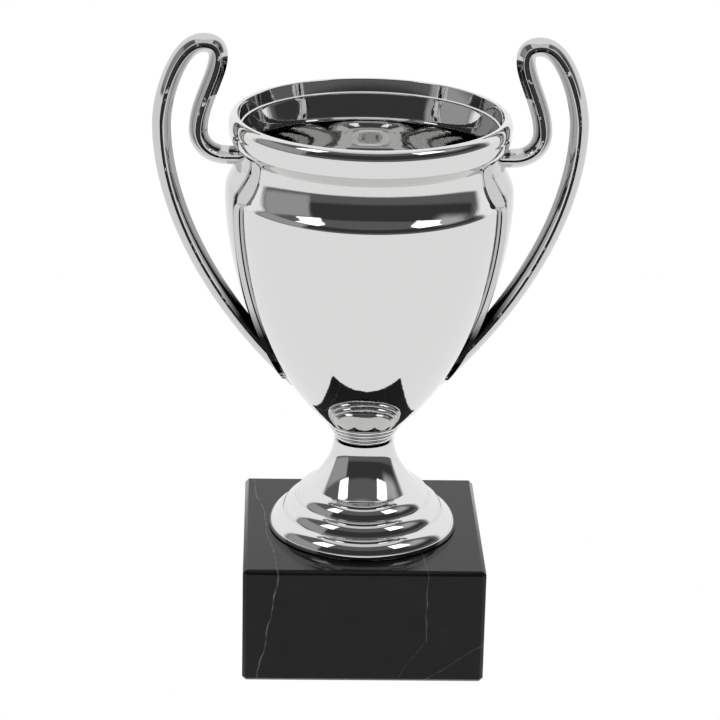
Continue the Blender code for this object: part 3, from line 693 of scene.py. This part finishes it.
def add_strap(mesh, side):
    """A sheet bent to stand off the bowl and thickened back towards it."""
    bowl_line = body + roll + neck
    face_line = pushed(body, STRAP_PROUD)
    face = shoulder_radius + STRAP_PROUD
    plate = waist[0] + STRAP_CLEAR + NECK_PLATE_WALL
    face_line += bezier((face, shoulder + 0.3), (face, shoulder + 2.4), (face - 0.2, shoulder + 3.2),
                        (face - 0.5, shoulder + 3.7), 10)
    face_line += [(plate, shoulder + 8.0), (plate, shoulder + STRAP_TOP_RISE + 1)]
    back_line = pushed(body, STRAP_CLEAR) + [(radius + NECK_CLEAR, height)
                                             for radius, height in bowl_line[len(body):]]
    tip = STRAP_LOW_RISE + STRAP_TIP
    top = BODY_HEIGHT + STRAP_TOP_RISE
    wedge_shade = mesh.verts.layers.float.new("wedge_shade")
    verts = bmesh.ops.create_grid(mesh, x_segments=STRAP_COLUMNS, y_segments=STRAP_ROWS,
                                  size=1.0)["verts"]
    for vert in verts:
        across, share = vert.co.x, (vert.co.y + 1) / 2
        rise = tip + (top - STRAP_LOW_RISE - STRAP_TIP) * share ** STRAP_CROWDING
        height = bowl_low + rise
        y = across * strap_half_width(rise)
        radius = radius_at(face_line, height)
        vert.co = (side * sqrt(radius ** 2 - y ** 2), y, height)
        # Painted shade in the wedge, on the strap's face.
        vert[wedge_shade] = wedge_shade_share(height + STRAP_SHADE_SHIFT)
    faces = list({face for vert in verts for face in vert.link_faces})
    made = bmesh.ops.extrude_face_region(mesh, geom=faces)
    back = [item for item in made["geom"] if isinstance(item, bmesh.types.BMVert)]
    for vert in back:
        radius = radius_at(back_line, vert.co.z)
        above = vert.co.z - shoulder
        half_width = strap_half_width(vert.co.z - bowl_low)
        if above > 0:
            vert.co.y *= 1 + PLATE_BEVEL * min(above / PLATE_RISE, 1.0) ** 3 / half_width
        vert.co.x = side * sqrt(radius ** 2 - vert.co.y ** 2)


# Painted shade for the groove: near-black, broken by patches of bright metal.
groove_shade, tree, shader = principled("groove_shade_black", PAINTED_SHADE_BLACK, 0.4)
place = place_mm(tree)
caught = add_node(tree, "ShaderNodeMapRange",
                  {"Value": clouds(tree, place, 0.8, 5.0), "From Min": 0.6, "From Max": 0.66})
tree.links.new(tint(tree, caught, PAINTED_SHADE_BLACK, BRIGHT), shader.inputs["Base Color"])
tree.links.new(caught, shader.inputs["Metallic"])
raise_surface(tree, shader, clouds(tree, place, 3.0), 0.01)

handle_plating = bright_plating("handle_plating", 0.004)
tree = handle_plating.node_tree
shader = tree.nodes["Principled BSDF"]
# The wedge's painted shade darkens the handle plating towards near-black.
wedge_shade = add_node(tree, "ShaderNodeAttribute", {}, output=2, attribute_name="wedge_shade")
tree.links.new(tint(tree, wedge_shade, HANDLE_SHADED_BRIGHT, PAINTED_SHADE_BLACK), shader.inputs["Base Color"])

for node, side in (("right_handle", 1), ("left_handle", -1)):
    mesh = bmesh.new()
    add_strap(mesh, side)
    add_bar(mesh, side)
    bmesh.ops.recalc_face_normals(mesh, faces=mesh.faces)
    show(mesh, node.replace("_handle", "_scroll_handle"), node,
         [handle_plating, groove_shade], HANDLE_CRISP)


# ---------------------------------------------------------------- rod, washers and nuts
# One zinc-plated M5 threaded rod clamps the whole cup together, with a washer and a hexagon nut
# on the bowl's floor and a wider washer and another nut inside the block.

THREAD_PITCH = 0.8
THREAD_DEPTH = 0.45
THREAD_STEPS = 32                 # to the turn
WASHER_HOLE = 2.85
WASHER_ROUND = 0.15
NUT_HOLE_CHAMFER = 0.35
NUT_LOOP = 48
NUT_SLOPE = 0.577                 # of the chamfer at its corners, 30 degrees
NUT_FACE = 0.97                   # radius of its round face, as a share of half its width
NUT_THREAD = 0.1                  # how far its bore is inside the washers' holes
WASHER_STEPS = 96
FIXING_CRISP = 25                 # degrees
ROD_CRISP = 35
ZINC = (0.58, 0.59, 0.60)
ZINC_YELLOWED = (0.50, 0.49, 0.45)


def zinc_plating():
    """Dull zinc: cloudy in patches, with a fine satin grain."""
    material, tree, shader = principled("zinc_plating", ZINC, 0.34, 1.0)
    place = place_mm(tree)
    patches = clouds(tree, place, 0.7, 5.0)
    tree.links.new(tint(tree, patches, ZINC_YELLOWED, ZINC), shader.inputs["Base Color"])
    grain = add_node(tree, "ShaderNodeMapRange",
                     {"Value": patches, "To Min": 0.26, "To Max": 0.44})
    tree.links.new(grain, shader.inputs["Roughness"])
    raise_surface(tree, shader, clouds(tree, place, 9.0, 2.0), 0.004)
    return material


zinc = zinc_plating()

for node in ("bowl_washer", "base_washer"):
    low, high = cad_place(node)
    middle = high.x - WASHER_ROUND
    outline = [(WASHER_HOLE, low.z)]
    outline += rounded((middle, low.z + WASHER_ROUND), WASHER_ROUND, -90, 0)
    outline += rounded((middle, high.z - WASHER_ROUND), WASHER_ROUND, 0, 90)
    outline.append((WASHER_HOLE, high.z))
    show(turned(outline, WASHER_STEPS), node.replace("washer", "flat_washer"), node, [zinc])


def nut_loop(mesh, flats, circle, height, drop):
    """A ring of edges on the nut: on its six flats where they are inside the circle's cone."""
    verts = bmesh.ops.create_circle(mesh, segments=NUT_LOOP, radius=1.0)["verts"]
    for vert in verts:
        angle = atan2(vert.co.y, vert.co.x)
        from_flat = (angle + pi / 6) % (pi / 3) - pi / 6
        reach = flats / cos(from_flat) if flats else circle
        vert.co = (reach * cos(angle), reach * sin(angle),
                   height - drop * max(reach - circle, 0.0) * NUT_SLOPE)
    return list({edge for vert in verts for edge in vert.link_edges})


for node in ("bowl_nut", "base_nut"):
    low, high = cad_place(node)
    flats = (high.y - low.y) / 2
    circle = flats * NUT_FACE
    bore = WASHER_HOLE - NUT_THREAD
    mesh = bmesh.new()
    loops = [nut_loop(mesh, 0, bore, low.z + NUT_HOLE_CHAMFER, 0),
             nut_loop(mesh, 0, bore + NUT_HOLE_CHAMFER, low.z, 0),
             nut_loop(mesh, 0, circle, low.z, 0),
             nut_loop(mesh, flats, circle, low.z, -1),
             nut_loop(mesh, flats, circle, high.z, 1),
             nut_loop(mesh, 0, circle, high.z, 0),
             nut_loop(mesh, 0, bore + NUT_HOLE_CHAMFER, high.z, 0),
             nut_loop(mesh, 0, bore, high.z - NUT_HOLE_CHAMFER, 0)]
    for lower, upper in zip(loops, loops[1:] + loops[:1]):
        bmesh.ops.bridge_loops(mesh, edges=lower + upper)
    bmesh.ops.recalc_face_normals(mesh, faces=mesh.faces)
    show(mesh, node.replace("nut", "hexagon_nut"), node, [zinc], FIXING_CRISP)

low, high = cad_place("tie_rod")
major, root = high.x, high.x - THREAD_DEPTH
turns = ceil((high.z - low.z) / THREAD_PITCH) + 2
mesh = bmesh.new()
tooth = [(root, 0.0), (root, 0.1), (major, 0.4), (major, 0.5), (root, THREAD_PITCH)]
verts = [mesh.verts.new((radius, 0.0, low.z - THREAD_PITCH + rise)) for radius, rise in tooth]
edges = [mesh.edges.new(pair) for pair in zip(verts, verts[1:])]
bmesh.ops.spin(mesh, geom=verts + edges, axis=(0, 0, 1), cent=(0, 0, 0), angle=tau * turns,
               dvec=(0, 0, THREAD_PITCH / THREAD_STEPS), steps=THREAD_STEPS * turns)
bmesh.ops.remove_doubles(mesh, verts=mesh.verts, dist=0.002)
for level, up in ((low.z, -1), (high.z, 1)):
    cut = bmesh.ops.bisect_plane(mesh, geom=mesh.verts[:] + mesh.edges[:] + mesh.faces[:],
                                 plane_co=(0, 0, level), plane_no=(0, 0, up), clear_outer=True)
    rim = [item for item in cut["geom_cut"] if isinstance(item, bmesh.types.BMEdge)]
    bmesh.ops.contextual_create(mesh, geom=rim)
bmesh.ops.recalc_face_normals(mesh, faces=mesh.faces)
show(mesh, "threaded_rod", "tie_rod", [zinc], ROD_CRISP)


# ---------------------------------------------------------------- studio
# A glowing white sweep, white walls at the sides and behind, and an unlit room in front with a
# window of light high at each side of the camera. The plating mirrors all of it, so it is laid
# out in bearings (degrees round from the front, right positive) and heights (degrees up).

CAMERA_PLACE = (-20.04, -571.32, 274.86)
CAMERA_YAW = radians(1.893)
CAMERA_PITCH = radians(20.32)
CAMERA_ROLL = radians(1.258)
LENS = 146.48
SENSOR_WIDTH = 36.0
FLOOR_SIZE = 3000.0
WHITE = 1.0
SIDE_WALLS = 1.08
ROOM = 0.13
FAR_WALL = 0.045
GREY_WALL = 0.38
CEILING = 0.8
LAMP = 2.4
LAMP_SPILL = 0.5
# For each card its brightness, bearings, heights, softness at the sides and softness at the ends.
# Later ones lie over earlier ones.
CARDS = ((ROOM, (-107, 106), (-1.3, 64), 5.0, 1.3),
         (FAR_WALL, (-56, 98), (10, 38), 3.0, 2.5),
         (GREY_WALL, (-104, -56), (2, 33), 3.0, 3.0),
         (CEILING, (-107, 106), (64, 120), 6.0, 5.0),
         (LAMP_SPILL, (64, 94), (28, 50), 8.0, 8.0),
         (LAMP, (-72, -48), (35, 56), 1.5, 1.5),
         (LAMP, (43, 69), (36, 56), 1.5, 1.5))


def fade(tree, value, low, high, out_low=0.0, out_high=1.0):
    """Smooth step from one level to another while a value goes from low to high."""
    return add_node(tree, "ShaderNodeMapRange",
                    {"Value": value, "From Min": low, "From Max": high, "To Min": out_low,
                     "To Max": out_high}, interpolation_type="SMOOTHSTEP")


def card(tree, bearing, height, bearings, heights, sides, ends):
    """1 inside a patch of bearings and heights and 0 outside it, with soft sides and ends."""
    mask = fade(tree, bearing, bearings[0] - sides, bearings[0] + sides)
    for edge in (fade(tree, bearing, bearings[1] - sides, bearings[1] + sides, 1.0, 0.0),
                 fade(tree, height, heights[0] - ends, heights[0] + ends),
                 fade(tree, height, heights[1] - ends, heights[1] + ends, 1.0, 0.0)):
        mask = add_node(tree, "ShaderNodeMath", {0: mask, 1: edge}, operation="MULTIPLY")
    return mask


world = bpy.data.worlds.new("studio")
bpy.context.scene.world = world
world.use_nodes = True
sky = world.node_tree
toward = sky.nodes.new("ShaderNodeTexCoord").outputs["Generated"]
axes = sky.nodes.new("ShaderNodeSeparateXYZ")
sky.links.new(toward, axes.inputs[0])
front = add_node(sky, "ShaderNodeMath", {0: axes.outputs["Y"], 1: -1.0}, operation="MULTIPLY")
bearing = add_node(sky, "ShaderNodeMath", {0: axes.outputs["X"], 1: front}, operation="ARCTAN2")
bearing = add_node(sky, "ShaderNodeMath", {0: bearing}, operation="DEGREES")
height = add_node(sky, "ShaderNodeMath", {0: axes.outputs["Z"]}, operation="ARCSINE")
height = add_node(sky, "ShaderNodeMath", {0: height}, operation="DEGREES")
light = fade(sky, height, -2, 2, WHITE, SIDE_WALLS)
for level, bearings, heights, sides, ends in CARDS:
    share = card(sky, bearing, height, bearings, heights, sides, ends)
    light = add_node(sky, "ShaderNodeMix", {0: share, 2: light, 3: level})
seen = sky.nodes.new("ShaderNodeLightPath").outputs["Is Camera Ray"]
light = add_node(sky, "ShaderNodeMix", {0: seen, 2: light, 3: WHITE})
sky.links.new(light, sky.nodes["Background"].inputs["Strength"])
sky.nodes["Background"].inputs["Color"].default_value = (1.0, 1.0, 1.0, 1.0)
bpy.context.scene.view_settings.view_transform = "Standard"

mesh = bmesh.new()
bmesh.ops.create_grid(mesh, x_segments=1, y_segments=1, size=FLOOR_SIZE * MM)
data = bpy.data.meshes.new("pale_floor")
mesh.to_mesh(data)
mesh.free()
floor_paint = bpy.data.materials.new("pale_floor")
floor_paint.use_nodes = True
tree = floor_paint.node_tree
glow = add_node(tree, "ShaderNodeEmission", {"Color": (1.0, 1.0, 1.0, 1.0), "Strength": WHITE})
tree.links.new(glow, tree.nodes["Material Output"].inputs["Surface"])
data.materials.append(floor_paint)
floor = bpy.data.objects.new("pale_floor", data)
bpy.context.scene.collection.objects.link(floor)

forward = Vector((sin(CAMERA_YAW) * cos(CAMERA_PITCH), cos(CAMERA_YAW) * cos(CAMERA_PITCH),
                  -sin(CAMERA_PITCH)))
level_right = Vector((cos(CAMERA_YAW), -sin(CAMERA_YAW), 0.0))
level_up = level_right.cross(forward)
right = level_right * cos(CAMERA_ROLL) + level_up * sin(CAMERA_ROLL)
up = level_up * cos(CAMERA_ROLL) - level_right * sin(CAMERA_ROLL)
camera_data = bpy.data.cameras.new("camera")
camera_data.lens = LENS
camera_data.sensor_width = SENSOR_WIDTH
camera = bpy.data.objects.new("camera", camera_data)
bpy.context.scene.collection.objects.link(camera)
turn = Matrix((right, up, -forward)).transposed()
camera.matrix_world = Matrix.Translation(Vector(CAMERA_PLACE) * MM) @ turn.to_4x4()
bpy.context.scene.camera = camera
